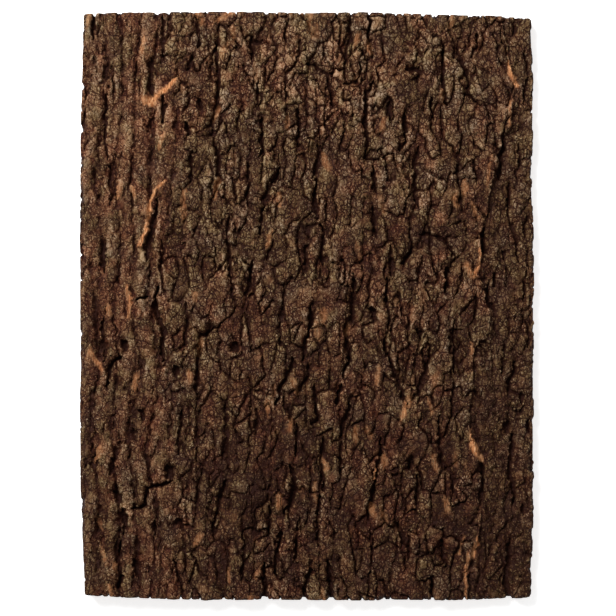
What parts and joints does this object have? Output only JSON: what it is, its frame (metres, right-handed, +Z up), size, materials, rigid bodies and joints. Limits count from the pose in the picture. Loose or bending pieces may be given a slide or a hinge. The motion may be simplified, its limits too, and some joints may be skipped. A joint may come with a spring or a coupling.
{
  "type": "cork bark slab",
  "caption": "Flat rectangular slab of raw cork with a flat back and a rough, fissured, scaly bark face; lies on its back or is fixed by it as a natural backdrop.",
  "frame": {"origin": "centre of the flat back, which is the lowest plane of the slab", "axes": "+Z up out of the bark face, away from the flat back; +Y along the bark's grain and the slab's length; +X across the grain"},
  "size_m": [0.4492, 0.5816, 0.0255],
  "materials": {
    "cork_bark": "matte, rough natural bark"
  },
  "bodies": {
    "root": {"cork_bark_slab": "cork_bark"}
  },
  "joints": []
}
